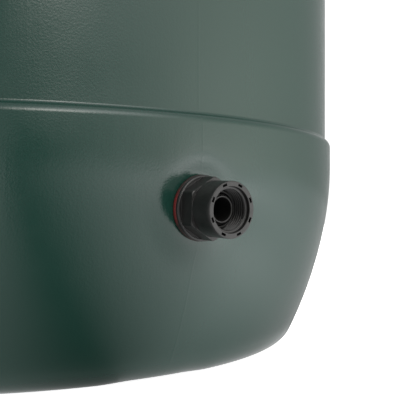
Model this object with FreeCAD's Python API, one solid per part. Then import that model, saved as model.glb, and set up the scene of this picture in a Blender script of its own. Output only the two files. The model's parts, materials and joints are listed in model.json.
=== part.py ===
import FreeCAD, Part
import math
import os

# Rain barrel of about 210 litres: a blow-moulded body, a drop-on lid held by four turn latches,
# a lift-out leaf strainer in the lid, a threaded outlet low on the front and an overflow at the back.
# Millimetres.  Origin at the centre of the base, +Z up, the outlet on the -Y side.
# The mould's parting plane is X = 0, and both wall fittings stand on it.

# --- driving dimensions -------------------------------------------------------------------------
BAND_R = 290.0              # largest radius of the body: lower bowl and upper band
WALL_T = 3.2                # blow-moulded wall
RIM_Z = 940.0               # top of the rim
STEP_IN = 4.1               # how far the long straight wall stands inside the bands

# lower bowl, described by its tangent arcs from the foot upwards
RECESS_Z = 14.0             # height of the recessed underside
RECESS_R = 201.0
RECESS_TURN = 55.0          # degrees of each half of the S-curve between recess and foot
FOOT_WIDTH_R = 228.0        # inner radius of the flat foot ring
FOOT_FILLET = 21.3
BOWL_LOWER_ARC = 345.0
BOWL_UPPER_ARC = 266.0
BOWL_JOIN_DEG = 11.25       # slope where the two bowl arcs meet
BOWL_TOP_Z = 148.5

# steps between bands and wall
STEP_START_Z = 162.2
STEP_CONVEX = 6.0
STEP_CONCAVE = 2.0
STEP_TURN = 55.0
TOP_BAND_Z = 808.0          # upper band starts here
SHOULDER_Z = 868.0          # upper band ends here
SHOULDER_CONVEX = 14.0
SHOULDER_CONCAVE = 6.0
SHOULDER_TURN = 60.0
NECK_R = 277.0
BEAD_CENTRE_R = 274.0       # rolled bead of the rim
BEAD_ARC = 10.0
MOUTH_R = 262.0

# weld left by the mould's pinch-off across the underside
WELD_WIDTH = 3.0
WELD_HEIGHT = 1.6

# outlet fitting, G3/4 female socket
OUTLET_Z = 110.6
OUTLET_SEAT_R = 286.8       # distance of its flat seat from the barrel's axis
OUTLET_DROOP = 2.5          # degrees that the fitting points below level
OUTLET_PAD_R = 22.5
OUTLET_POCKET_R = 21.0
OUTLET_FLANK_RUN = 20.0     # how far out the conical flanks round the flat seat spread
OUTLET_HOLE_R = 13.6
OUTLET_SPIGOT_R = 13.1
OUTLET_BORE_R = 7.0
OUTLET_WASHER_R = 20.2
OUTLET_FLANGE_R = 20.0
OUTLET_FLANGE_T = 2.4
OUTLET_HEX_AF = 34.6
OUTLET_HEX_END = 14.2       # distances along the fitting's axis are from the seat
OUTLET_SLEEVE_R = 16.75
OUTLET_FACE = 30.1
SOCKET_MOUTH_R = 13.5
SOCKET_R = 12.06            # crest radius of the female thread
SOCKET_RELIEF_R = 13.2
SOCKET_DEPTH = 15.0
SOCKET_CHAMFER = 1.4
SOCKET_THREAD = 7.0
LIP_DEPTH = 8.8             # the raised lip round the bore stands this far behind the face
LIP_R = 9.0
SLOT_COUNT = 8
SLOT_RING_R = 15.1
SLOT_LONG = 3.1
SLOT_WIDE = 1.4
SLOT_DEPTH = 9.0

# overflow fitting, plain 32 mm hose spigot
OVERFLOW_Z = 838.0
OVERFLOW_SEAT_R = 291.5
OVERFLOW_PAD_R = 27.0
OVERFLOW_POCKET_R = 25.5
OVERFLOW_FLANK_RUN = 9.0
OVERFLOW_HOLE_R = 17.0
OVERFLOW_SPIGOT_R = 16.5
OVERFLOW_BORE_R = 13.0
OVERFLOW_FLANGE_R = 24.0
OVERFLOW_FLANGE_T = 4.0
OVERFLOW_TAIL_R = 16.0
OVERFLOW_FACE = 42.0
OVERFLOW_NUT_AF = 42.0

# shared by both fittings
GASKET_T = 2.5
NUT_T = 9.0
OUTLET_NUT_AF = 38.0
SPIGOT_BEHIND_NUT = 3.0
THREAD_GAP = 0.05           # radial gap between a spigot and its nut
PAD_FLANK_H = 9.0           # height over which a seat's conical flanks spread

# lid
LID_T = 3.0
SKIRT_R = 289.5
SKIRT_Z = 924.0
SKIRT_FILLET = 10.0
PLATEAU_Z = 955.0
PLATEAU_START_R = 257.0
PLATEAU_ARC = 6.0
PLATEAU_TURN = 60.0
PLATEAU_FALL = 2.0          # degrees that the lid's top falls towards its middle
SEAT_STEP_R = 96.0
SEAT_Z = 947.0              # the strainer's rim hangs on this seat
SEAT_TURN = 60.0
SEAT_CONVEX = 3.5
SEAT_CONCAVE = 1.0
INLET_R = 80.0
LOCATOR_OUT_R = 260.5       # ring under the lid that centres it in the mouth
LOCATOR_T = 2.5
LOCATOR_DEEP = 14.0

# latches
LATCH_COUNT = 4
LATCH_PIVOT_R = 297.0
LATCH_BOSS_R = 11.0
SHAFT_R = 5.0
SHAFT_GAP = 0.05
HANDLE_LENGTH = 44.0
HANDLE_WIDTH = 13.0
HANDLE_HEIGHT = 9.0
HANDLE_GAP = 0.4            # between the handle and the lid's ring
HANDLE_FILLET = 3.0
CAM_BOTTOM_Z = 914.5
CAM_T = 5.0
CAM_HUB_R = 9.0
CAM_HUB_GAP = 0.3
CAM_REACH = 19.0
CAM_WIDTH = 12.0
SQUARE = 6.0                # square end of the shaft, inside the cam
SQUARE_GAP = 0.1
SCREW_R = 2.4
SCREW_GAP = 0.05
SCREW_LENGTH = 14.0
SCREW_HEAD_R = 5.0
SCREW_HEAD_T = 3.4
DRIVE_R = 1.9
DRIVE_DEEP = 2.0

# leaf strainer
BASKET_RIM_R = 89.5
BASKET_RIM_T = 3.0
BASKET_TOP_R = 78.5
BASKET_FLOOR_R = 70.0
BASKET_FLOOR_Z = 890.0
BASKET_T = 2.4
BASKET_SLOTS = 36
BASKET_SLOT_W = 3.2
BASKET_SLOT_LOW = 900.0
BASKET_SLOT_HIGH = 936.0
SPOKES = 8
SPOKE_W = 4.0
FLOOR_HUB_R = 12.0
FLOOR_OPEN_R = 61.0
SCREEN_R = 66.0
SCREEN_T = 0.6
CLIP_IN_R = 60.0
CLIP_T = 3.0

V = FreeCAD.Vector
UP = V(0, 0, 1)


# --- helpers -------------------------------------------------------------------------------------
class Outline:
    """A line of straight runs and tangent arcs in the r-z half-plane, walked with material on its left.

    inset moves the whole line that far to its left: a left turn's arc gets tighter, a right turn's wider.
    """

    def __init__(self, r, z, heading, inset=0.0):
        self.heading = heading
        self.inset = inset
        self.r = r - inset * math.sin(math.radians(heading))
        self.z = z + inset * math.cos(math.radians(heading))
        self.edges = []

    def place(self):
        return V(self.r, 0, self.z)

    def line_to(self, r, z):
        """Straight run to a point that is given as it stands, inset or not."""
        start = self.place()
        self.r = r
        self.z = z
        self.edges.append(Part.LineSegment(start, self.place()).toShape())

    def ahead(self, length):
        slope = math.radians(self.heading)
        self.line_to(self.r + length * math.cos(slope), self.z + length * math.sin(slope))

    def ahead_to_r(self, r):
        self.ahead((r - self.r) / math.cos(math.radians(self.heading)))

    def ahead_to_z(self, z):
        self.ahead((z - self.z) / math.sin(math.radians(self.heading)))

    def arc(self, radius, turn):
        """Tangent arc.  A positive turn bends left."""
        side = 1.0 if turn > 0 else -1.0
        real_radius = radius - side * self.inset
        start = self.place()
        ends = []
        for part_turn in (turn / 2, turn):
            before = math.radians(self.heading)
            after = math.radians(self.heading + part_turn)
            r = self.r + side * real_radius * (math.sin(after) - math.sin(before))
            z = self.z - side * real_radius * (math.cos(after) - math.cos(before))
            ends.append(V(r, 0, z))
        self.r = ends[1].x
        self.z = ends[1].z
        self.heading = self.heading + turn
        self.edges.append(Part.Arc(start, ends[0], ends[1]).toShape())

    def offset_bend(self, first_radius, second_radius, turn, offset):
        """S-curve that shifts the line sideways by offset: turns one way, runs straight, turns back."""
        lost = (first_radius + second_radius) * (1 - math.cos(math.radians(turn)))
        straight = (offset - lost) / abs(math.sin(math.radians(turn)))
        self.arc(first_radius, turn)
        self.ahead(straight)
        self.arc(second_radius, -turn)

    def revolve(self):
        face = Part.Face(Part.Wire(self.edges))
        return face.revolve(V(0, 0, 0), UP, 360)


def ring(outer_r, inner_r, low, high):
    outer = Part.makeCylinder(outer_r, high - low, V(0, 0, low))
    return outer.cut(Part.makeCylinder(inner_r, high - low, V(0, 0, low)))


def hexagon(across_flats, low, high):
    """Hexagonal prism with a corner pointing along +Y, its corners chamfered at both ends."""
    corner_r = across_flats / math.sqrt(3)
    corners = []
    for k in range(7):
        angle = math.radians(30 + 60 * k)
        corners.append(V(corner_r * math.cos(angle), corner_r * math.sin(angle), low))
    prism = Part.Face(Part.makePolygon(corners)).extrude(V(0, 0, high - low))
    height = high - low
    flat_r = across_flats / 2
    reach = corner_r - flat_r
    rounding = Part.makeCone(flat_r + 0.4 * reach, flat_r + 0.4 * reach + height, height, V(0, 0, low))
    other = Part.makeCone(flat_r + 0.4 * reach + height, flat_r + 0.4 * reach, height, V(0, 0, low))
    return prism.common(rounding).common(other)


def bar(length, width, height):
    """Flat bar along Y with round ends, centred on the Z axis and standing on z = 0."""
    half = length / 2 - width / 2
    side = width / 2
    edges = [
        Part.LineSegment(V(side, -half, 0), V(side, half, 0)).toShape(),
        Part.Arc(V(side, half, 0), V(0, half + side, 0), V(-side, half, 0)).toShape(),
        Part.LineSegment(V(-side, half, 0), V(-side, -half, 0)).toShape(),
        Part.Arc(V(-side, -half, 0), V(0, -half - side, 0), V(side, -half, 0)).toShape(),
    ]
    return Part.Face(Part.Wire(edges)).extrude(V(0, 0, height))


def edges_at(shape, z):
    """Edges that lie wholly at height z."""
    found = []
    for edge in shape.Edges:
        box = edge.BoundBox
        if abs(box.ZMin - z) < 1e-6 and abs(box.ZMax - z) < 1e-6:
            found.append(edge)
    return found


def placed(shape, seat, outward):
    """Copy of a fitting's piece, moved from its own axis (+Z, seat at the origin) onto the wall."""
    moved = shape.copy()
    moved.Placement = FreeCAD.Placement(seat, FreeCAD.Rotation(UP, outward))
    return moved


def save(shape, node):
    shape.exportStep("parts/" + node + ".step")
    print(node, "valid", shape.isValid(), "solids", len(shape.Solids), "volume", round(shape.Volume))


# --- barrel body ---------------------------------------------------------------------------------
outlet_seat = V(0, -OUTLET_SEAT_R, OUTLET_Z)
outlet_out = V(0, -math.cos(math.radians(OUTLET_DROOP)), -math.sin(math.radians(OUTLET_DROOP)))
overflow_seat = V(0, OVERFLOW_SEAT_R, OVERFLOW_Z)
overflow_out = V(0, 1, 0)


def barrel_skin(inset):
    """Solid bounded by the barrel's outer skin, or by its inner skin when inset is the wall."""
    # the bowl's arcs are found from its top downwards, because its top is tangent to the band
    join = math.radians(BOWL_JOIN_DEG)
    upper_centre_r = BAND_R - BOWL_UPPER_ARC
    lower_centre_r = upper_centre_r - (BOWL_LOWER_ARC - BOWL_UPPER_ARC) * math.cos(join)
    lower_centre_z = BOWL_TOP_Z + (BOWL_LOWER_ARC - BOWL_UPPER_ARC) * math.sin(join)
    foot_slope = math.asin((lower_centre_z - FOOT_FILLET) / (BOWL_LOWER_ARC - FOOT_FILLET))
    foot_end_r = lower_centre_r + (BOWL_LOWER_ARC - FOOT_FILLET) * math.cos(foot_slope)
    foot_turn = 90 - math.degrees(foot_slope)
    recess_arc = RECESS_Z / 2 / (1 - math.cos(math.radians(RECESS_TURN)))

    skin = Outline(0, RECESS_Z, 0, inset)
    skin.ahead_to_r(RECESS_R)
    skin.arc(recess_arc, -RECESS_TURN)
    skin.arc(recess_arc, RECESS_TURN)
    skin.ahead_to_r(foot_end_r)
    skin.arc(FOOT_FILLET, foot_turn)
    skin.arc(BOWL_LOWER_ARC, math.degrees(foot_slope) - BOWL_JOIN_DEG)
    skin.arc(BOWL_UPPER_ARC, BOWL_JOIN_DEG)
    skin.ahead_to_z(STEP_START_Z)
    skin.offset_bend(STEP_CONVEX, STEP_CONCAVE, STEP_TURN, STEP_IN)
    step_height = skin.z - STEP_START_Z
    skin.ahead_to_z(TOP_BAND_Z - step_height)
    skin.offset_bend(STEP_CONCAVE, STEP_CONVEX, -STEP_TURN, STEP_IN)
    skin.ahead_to_z(SHOULDER_Z)
    skin.offset_bend(SHOULDER_CONVEX, SHOULDER_CONCAVE, SHOULDER_TURN, BAND_R - NECK_R)
    # the neck runs up into the bead's arc
    bead_r = BEAD_ARC - inset
    bead_z = RIM_Z - BEAD_ARC
    meet = math.acos((NECK_R - inset - BEAD_CENTRE_R) / bead_r)
    skin.ahead_to_z(bead_z - bead_r * math.sin(meet))
    skin.heading = 90 - math.degrees(meet)
    skin.arc(BEAD_ARC, 90 + math.degrees(meet))
    skin.ahead_to_r(MOUTH_R)
    if inset > 0:
        skin.line_to(MOUTH_R, RIM_Z + inset)
    skin.line_to(0, RIM_Z + inset)
    skin.line_to(0, RECESS_Z + inset)
    return skin.revolve()


def flanked_disc(flat_r, flank_run, depth, seat, outward):
    """Flat disc with a conical flank behind it, its flat face the given depth below the seat."""
    cone = Part.makeCone(flat_r + flank_run, flat_r, PAD_FLANK_H, V(0, 0, -depth - PAD_FLANK_H))
    return placed(cone, seat, outward)


def sunk_disc(flat_r, flank_run, depth, seat, outward):
    """What is cut away in front of a flat disc: it opens outwards at the same slope as the flank."""
    cone = Part.makeCone(flat_r, flat_r + flank_run, PAD_FLANK_H, V(0, 0, -depth))
    return placed(cone, seat, outward)


def wall_hole(hole_r, seat, outward):
    return placed(Part.makeCylinder(hole_r, 6 * WALL_T, V(0, 0, -4 * WALL_T)), seat, outward)


def make_barrel_body():
    outside = barrel_skin(0)
    outside = outside.fuse(flanked_disc(OUTLET_PAD_R, OUTLET_FLANK_RUN, 0, outlet_seat, outlet_out))
    outside = outside.cut(sunk_disc(OUTLET_PAD_R, OUTLET_FLANK_RUN, 0, outlet_seat, outlet_out))
    outside = outside.fuse(flanked_disc(OVERFLOW_PAD_R, OVERFLOW_FLANK_RUN, 0, overflow_seat, overflow_out))
    weld_box = Part.makeBox(
        WELD_WIDTH, 2 * RECESS_R, WALL_T, V(-WELD_WIDTH / 2, -RECESS_R, RECESS_Z - WELD_HEIGHT)
    )
    outside = outside.fuse(weld_box)
    inside = barrel_skin(WALL_T)
    pocket = flanked_disc(OUTLET_POCKET_R, OUTLET_FLANK_RUN, WALL_T, outlet_seat, outlet_out)
    inside = inside.fuse(pocket)
    inside = inside.cut(sunk_disc(OUTLET_POCKET_R, OUTLET_FLANK_RUN, WALL_T, outlet_seat, outlet_out))
    pocket = flanked_disc(OVERFLOW_POCKET_R, OVERFLOW_FLANK_RUN, WALL_T, overflow_seat, overflow_out)
    inside = inside.fuse(pocket)
    body = outside.cut(inside)
    body = body.cut(wall_hole(OUTLET_HOLE_R, outlet_seat, outlet_out))
    return body.cut(wall_hole(OVERFLOW_HOLE_R, overflow_seat, overflow_out))


# --- wall fittings, each built along +Z with the barrel's outer seat at z = 0 ---------------------
BACK_WASHER_TOP = -WALL_T
NUT_TOP = BACK_WASHER_TOP - GASKET_T
SPIGOT_END = NUT_TOP - NUT_T - SPIGOT_BEHIND_NUT


def gasket(outer_r, hole_r, low):
    return ring(outer_r, hole_r, low, low + GASKET_T)


def back_nut(across_flats, spigot_r):
    nut = hexagon(across_flats, NUT_TOP - NUT_T, NUT_TOP)
    return nut.cut(Part.makeCylinder(spigot_r + THREAD_GAP, 3 * NUT_T, V(0, 0, NUT_TOP - 2 * NUT_T)))


def make_outlet_fitting():
    flange_top = GASKET_T + OUTLET_FLANGE_T
    flange = Part.makeCylinder(OUTLET_FLANGE_R, OUTLET_FLANGE_T, V(0, 0, GASKET_T))
    flange = flange.makeFillet(1.2, edges_at(flange, flange_top))
    body = flange.fuse(hexagon(OUTLET_HEX_AF, flange_top - 0.5, OUTLET_HEX_END))
    sleeve = Part.makeCylinder(OUTLET_SLEEVE_R, OUTLET_FACE - GASKET_T, V(0, 0, GASKET_T))
    sleeve = sleeve.makeChamfer(0.5, edges_at(sleeve, OUTLET_FACE))
    body = body.fuse(sleeve)
    body = body.fuse(Part.makeCylinder(OUTLET_SPIGOT_R, GASKET_T - SPIGOT_END, V(0, 0, SPIGOT_END)))

    floor = OUTLET_FACE - SOCKET_DEPTH
    mouth = Part.makeCone(SOCKET_R, SOCKET_MOUTH_R, SOCKET_CHAMFER, V(0, 0, OUTLET_FACE - SOCKET_CHAMFER))
    thread_low = OUTLET_FACE - SOCKET_CHAMFER - SOCKET_THREAD
    thread = Part.makeCylinder(SOCKET_R, OUTLET_FACE - thread_low, V(0, 0, thread_low))
    relief = Part.makeCylinder(SOCKET_RELIEF_R, thread_low - floor, V(0, 0, floor))
    body = body.cut(mouth.fuse(thread).fuse(relief))
    lip_top = OUTLET_FACE - LIP_DEPTH
    body = body.fuse(Part.makeCylinder(LIP_R, lip_top - floor, V(0, 0, floor)))
    body = body.cut(Part.makeCylinder(OUTLET_BORE_R, lip_top - SPIGOT_END, V(0, 0, SPIGOT_END)))

    slot = Part.makeBox(SLOT_LONG, SLOT_WIDE, SLOT_DEPTH, V(-SLOT_LONG / 2, -SLOT_WIDE / 2, 0))
    for k in range(SLOT_COUNT):
        cutter = slot.copy()
        cutter.translate(V(0, SLOT_RING_R, OUTLET_FACE - SLOT_DEPTH))
        cutter.rotate(V(0, 0, 0), UP, (k + 0.5) * 360 / SLOT_COUNT)
        body = body.cut(cutter)
    return body.removeSplitter()


def make_overflow_fitting():
    body = Part.makeCylinder(OVERFLOW_FLANGE_R, OVERFLOW_FLANGE_T, V(0, 0, GASKET_T))
    body = body.makeFillet(1.2, edges_at(body, GASKET_T + OVERFLOW_FLANGE_T))
    tail = Part.makeCylinder(OVERFLOW_TAIL_R, OVERFLOW_FACE - GASKET_T, V(0, 0, GASKET_T))
    tail = tail.makeChamfer(1.5, edges_at(tail, OVERFLOW_FACE))
    body = body.fuse(tail)
    body = body.fuse(Part.makeCylinder(OVERFLOW_SPIGOT_R, GASKET_T - SPIGOT_END, V(0, 0, SPIGOT_END)))
    bore = Part.makeCylinder(OVERFLOW_BORE_R, OVERFLOW_FACE - SPIGOT_END, V(0, 0, SPIGOT_END))
    return body.cut(bore).removeSplitter()


def outlet_pieces():
    return {
        "outlet_fitting": make_outlet_fitting(),
        "outlet_red_washer": gasket(OUTLET_WASHER_R, OUTLET_HOLE_R, 0),
        "outlet_back_washer": gasket(OUTLET_WASHER_R, OUTLET_HOLE_R, BACK_WASHER_TOP - GASKET_T),
        "outlet_back_nut": back_nut(OUTLET_NUT_AF, OUTLET_SPIGOT_R),
    }


def overflow_pieces():
    return {
        "overflow_fitting": make_overflow_fitting(),
        "overflow_washer": gasket(OVERFLOW_FLANGE_R, OVERFLOW_HOLE_R, 0),
        "overflow_back_washer": gasket(OVERFLOW_FLANGE_R, OVERFLOW_HOLE_R, BACK_WASHER_TOP - GASKET_T),
        "overflow_back_nut": back_nut(OVERFLOW_NUT_AF, OVERFLOW_SPIGOT_R),
    }


# --- lid -----------------------------------------------------------------------------------------
RING_Z = RIM_Z + LID_T      # top of the ring that rests on the barrel's rim


def lid_skin(inset):
    """Solid under the lid's top skin, or under its lower skin when inset is the lid's thickness."""
    skin = Outline(SKIRT_R, SKIRT_Z - inset, 90, inset)
    skin.ahead_to_z(RING_Z - SKIRT_FILLET)
    skin.arc(SKIRT_FILLET, 90)
    skin.ahead_to_r(PLATEAU_START_R)
    # up onto the plateau
    skin.offset_bend(PLATEAU_ARC, PLATEAU_ARC, -PLATEAU_TURN, PLATEAU_Z - RING_Z)
    skin.arc(PLATEAU_ARC, PLATEAU_FALL)
    skin.ahead_to_r(SEAT_STEP_R)
    # down onto the strainer's seat
    fall = skin.z + inset * math.cos(math.radians(PLATEAU_FALL)) - SEAT_Z
    lost = SEAT_CONVEX * (math.cos(math.radians(PLATEAU_FALL)) - math.cos(math.radians(SEAT_TURN)))
    lost = lost + SEAT_CONCAVE * (1 - math.cos(math.radians(SEAT_TURN)))
    skin.arc(SEAT_CONVEX, SEAT_TURN - PLATEAU_FALL)
    skin.ahead((fall - lost) / math.sin(math.radians(SEAT_TURN)))
    skin.arc(SEAT_CONCAVE, -SEAT_TURN)
    skin.line_to(0, skin.z)
    skin.line_to(0, SKIRT_Z - inset)
    skin.line_to(SKIRT_R - inset, SKIRT_Z - inset)
    return skin.revolve()


def around(shape, index):
    """Copy of a latch's piece, turned from azimuth 0 to the azimuth of the given latch."""
    moved = shape.copy()
    moved.rotate(V(0, 0, 0), UP, (index + 0.5) * 360 / LATCH_COUNT)
    return moved


def make_lid():
    lid = lid_skin(0)
    boss = Part.makeCylinder(LATCH_BOSS_R, RING_Z - SKIRT_Z, V(LATCH_PIVOT_R, 0, SKIRT_Z))
    for index in range(LATCH_COUNT):
        lid = lid.fuse(around(boss, index))
    lid = lid.cut(lid_skin(LID_T))
    lid = lid.cut(Part.makeCylinder(INLET_R, RING_Z, V(0, 0, SKIRT_Z)))
    locator_top = RIM_Z + LID_T / 2
    lid = lid.fuse(ring(LOCATOR_OUT_R, LOCATOR_OUT_R - LOCATOR_T, RIM_Z - LOCATOR_DEEP, locator_top))
    bore = Part.makeCylinder(SHAFT_R + SHAFT_GAP, RING_Z, V(LATCH_PIVOT_R, 0, SKIRT_Z - LID_T))
    for index in range(LATCH_COUNT):
        lid = lid.cut(around(bore, index))
    return lid.removeSplitter()


# --- turn latches, built at azimuth 0 with handle and cam lying along the rim (unlocked) ----------
HANDLE_Z = RING_Z + HANDLE_GAP
CAM_HUB_TOP = SKIRT_Z - CAM_HUB_GAP


def make_latch_handle():
    grip = bar(HANDLE_LENGTH, HANDLE_WIDTH, HANDLE_HEIGHT)
    grip = grip.makeFillet(HANDLE_FILLET, edges_at(grip, HANDLE_HEIGHT))
    grip.translate(V(0, 0, HANDLE_Z))
    shaft = Part.makeCylinder(SHAFT_R, HANDLE_Z - CAM_HUB_TOP, V(0, 0, CAM_HUB_TOP))
    square = Part.makeBox(
        SQUARE, SQUARE, CAM_HUB_TOP - CAM_BOTTOM_Z, V(-SQUARE / 2, -SQUARE / 2, CAM_BOTTOM_Z)
    )
    tapping = Part.makeCylinder(SCREW_R + SCREW_GAP, SCREW_LENGTH + 1, V(0, 0, CAM_BOTTOM_Z))
    handle = grip.fuse(shaft).fuse(square).cut(tapping)
    handle.translate(V(LATCH_PIVOT_R, 0, 0))
    return handle


def make_latch_cam():
    hub = Part.makeCylinder(CAM_HUB_R, CAM_HUB_TOP - CAM_BOTTOM_Z, V(0, 0, CAM_BOTTOM_Z))
    # the lobe reaches CAM_REACH from the pivot; its other round end is hidden in the hub
    lobe_length = CAM_REACH + CAM_WIDTH / 2
    lobe = bar(lobe_length, CAM_WIDTH, CAM_T)
    lobe.translate(V(0, CAM_REACH - lobe_length / 2, CAM_BOTTOM_Z))
    hole_side = SQUARE + 2 * SQUARE_GAP
    hole_corner = V(-hole_side / 2, -hole_side / 2, CAM_BOTTOM_Z - CAM_T)
    hole = Part.makeBox(hole_side, hole_side, 4 * CAM_T, hole_corner)
    cam = hub.fuse(lobe).cut(hole).removeSplitter()
    cam.translate(V(LATCH_PIVOT_R, 0, 0))
    return cam


def make_latch_screw():
    head_low = CAM_BOTTOM_Z - SCREW_HEAD_T
    head = Part.makeCylinder(SCREW_HEAD_R, SCREW_HEAD_T, V(0, 0, head_low))
    head = head.makeFillet(1.4, edges_at(head, head_low))
    shank = Part.makeCylinder(SCREW_R, SCREW_LENGTH, V(0, 0, CAM_BOTTOM_Z))
    drive_edges = []
    for k in range(7):
        angle = math.radians(60 * k)
        drive_edges.append(V(DRIVE_R * math.cos(angle), DRIVE_R * math.sin(angle), head_low))
    drive = Part.Face(Part.makePolygon(drive_edges)).extrude(V(0, 0, DRIVE_DEEP))
    screw = head.fuse(shank).cut(drive)
    screw.translate(V(LATCH_PIVOT_R, 0, 0))
    return screw


# --- leaf strainer -------------------------------------------------------------------------------
def make_strainer_basket():
    rim_top = SEAT_Z + BASKET_RIM_T
    cup = Outline(BASKET_FLOOR_R, BASKET_FLOOR_Z, 0)
    cup.line_to(BASKET_TOP_R, SEAT_Z)
    cup.line_to(BASKET_RIM_R, SEAT_Z)
    cup.line_to(BASKET_RIM_R, rim_top)
    cup.line_to(BASKET_TOP_R - BASKET_T, rim_top)
    cup.line_to(BASKET_FLOOR_R - BASKET_T, BASKET_FLOOR_Z + BASKET_T)
    cup.line_to(0, BASKET_FLOOR_Z + BASKET_T)
    cup.line_to(0, BASKET_FLOOR_Z)
    cup.line_to(BASKET_FLOOR_R, BASKET_FLOOR_Z)
    basket = cup.revolve()

    open_floor = ring(FLOOR_OPEN_R, FLOOR_HUB_R, BASKET_FLOOR_Z - 1, BASKET_FLOOR_Z + BASKET_T + 1)
    for k in range(SPOKES):
        spoke_corner = V(0, -SPOKE_W / 2, BASKET_FLOOR_Z - BASKET_T)
        spoke = Part.makeBox(FLOOR_OPEN_R + 2, SPOKE_W, 3 * BASKET_T, spoke_corner)
        spoke.rotate(V(0, 0, 0), UP, k * 360 / SPOKES)
        open_floor = open_floor.cut(spoke)
    basket = basket.cut(open_floor)

    slot_high = BASKET_SLOT_HIGH - BASKET_SLOT_LOW
    slots = []
    for k in range(BASKET_SLOTS):
        slot = Part.makeBox(
            BASKET_TOP_R, BASKET_SLOT_W, slot_high, V(FLOOR_OPEN_R, -BASKET_SLOT_W / 2, BASKET_SLOT_LOW)
        )
        slot.rotate(V(0, 0, 0), UP, (k + 0.5) * 360 / BASKET_SLOTS)
        slots.append(slot)
    return basket.cut(Part.makeCompound(slots)).removeSplitter()


def strainer_pieces():
    screen_low = BASKET_FLOOR_Z - SCREEN_T
    return {
        "strainer_basket": make_strainer_basket(),
        "strainer_screen": Part.makeCylinder(SCREEN_R, SCREEN_T, V(0, 0, screen_low)),
        "strainer_clip_ring": ring(BASKET_FLOOR_R, CLIP_IN_R, screen_low - CLIP_T, screen_low),
    }


# --- write every piece ---------------------------------------------------------------------------
os.makedirs("parts", exist_ok=True)

save(make_barrel_body(), "barrel_body")
for node, piece in outlet_pieces().items():
    save(placed(piece, outlet_seat, outlet_out), node)
for node, piece in overflow_pieces().items():
    save(placed(piece, overflow_seat, overflow_out), node)
save(make_lid(), "lid")
for node, piece in strainer_pieces().items():
    save(piece, node)
latch = {
    "handle": make_latch_handle(),
    "cam": make_latch_cam(),
    "screw": make_latch_screw(),
}
for index in range(LATCH_COUNT):
    for name, piece in latch.items():
        save(around(piece, index), "latch_" + str(index + 1) + "_" + name)
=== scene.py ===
import json
import math

import bmesh
import bpy
import numpy as np
from mathutils import Matrix, Vector


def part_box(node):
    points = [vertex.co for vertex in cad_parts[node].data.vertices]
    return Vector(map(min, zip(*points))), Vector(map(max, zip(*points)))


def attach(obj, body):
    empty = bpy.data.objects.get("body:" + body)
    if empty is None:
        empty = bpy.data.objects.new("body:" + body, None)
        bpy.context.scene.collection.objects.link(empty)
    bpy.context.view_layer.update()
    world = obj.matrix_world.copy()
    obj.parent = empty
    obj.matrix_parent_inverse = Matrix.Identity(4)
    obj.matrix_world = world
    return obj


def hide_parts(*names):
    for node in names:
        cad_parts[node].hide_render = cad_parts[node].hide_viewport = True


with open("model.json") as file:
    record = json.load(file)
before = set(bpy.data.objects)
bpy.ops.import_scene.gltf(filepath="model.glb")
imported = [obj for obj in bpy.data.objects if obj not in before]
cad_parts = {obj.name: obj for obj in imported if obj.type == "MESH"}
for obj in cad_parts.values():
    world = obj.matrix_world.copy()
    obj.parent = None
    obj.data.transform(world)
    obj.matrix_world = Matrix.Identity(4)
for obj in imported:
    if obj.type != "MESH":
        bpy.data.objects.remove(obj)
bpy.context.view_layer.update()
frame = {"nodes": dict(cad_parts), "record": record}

MM = 0.001

# --- sizes of the real object, in metres, read from the frame or repeated from the design ---------
RIM_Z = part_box("barrel_body")[1].z
BAND_R = 0.290
WALL_T = 0.0032
STEP_IN = 0.0041

RECESS_Z = 0.014
RECESS_R = 0.201
RECESS_TURN = 55.0
FOOT_FILLET = 0.0213
BOWL_LOWER_ARC = 0.345
BOWL_UPPER_ARC = 0.266
BOWL_JOIN_DEG = 11.25
BOWL_TOP_Z = 0.1485
STEP_START_Z = 0.1622
STEP_CONVEX = 0.006
STEP_CONCAVE = 0.002
STEP_TURN = 55.0
TOP_BAND_Z = 0.808
SHOULDER_Z = 0.868
SHOULDER_CONVEX = 0.014
SHOULDER_CONCAVE = 0.006
SHOULDER_TURN = 60.0
NECK_R = 0.277
BEAD_CENTRE_R = 0.274
BEAD_ARC = 0.010
MOUTH_R = 0.262

OUTLET_SEAT = Vector((0, -0.2868, 0.1106))
OUTLET_DROOP = math.radians(2.5)
OUTLET_OUT = Vector((0, -math.cos(OUTLET_DROOP), -math.sin(OUTLET_DROOP)))
OVERFLOW_SEAT = Vector((0, 0.2915, 0.838))
OVERFLOW_OUT = Vector((0, 1, 0))

LID_T = 0.003
SKIRT_R = 0.2895
SKIRT_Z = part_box("lid")[0].z
RING_Z = 0.943
SKIRT_FILLET = 0.010
PLATEAU_Z = 0.955
PLATEAU_START_R = 0.257
PLATEAU_ARC = 0.006
PLATEAU_TURN = 60.0
PLATEAU_FALL = 2.0
SEAT_STEP_R = 0.096
SEAT_Z = 0.947
SEAT_TURN = 60.0
SEAT_CONVEX = 0.0035
SEAT_CONCAVE = 0.001
INLET_R = 0.080
LOCATOR_OUT_R = 0.2605
LOCATOR_T = 0.0025
LOCATOR_DEEP = 0.014
LATCH_PIVOT_R = 0.297
LATCH_BOSS_R = 0.011


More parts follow.
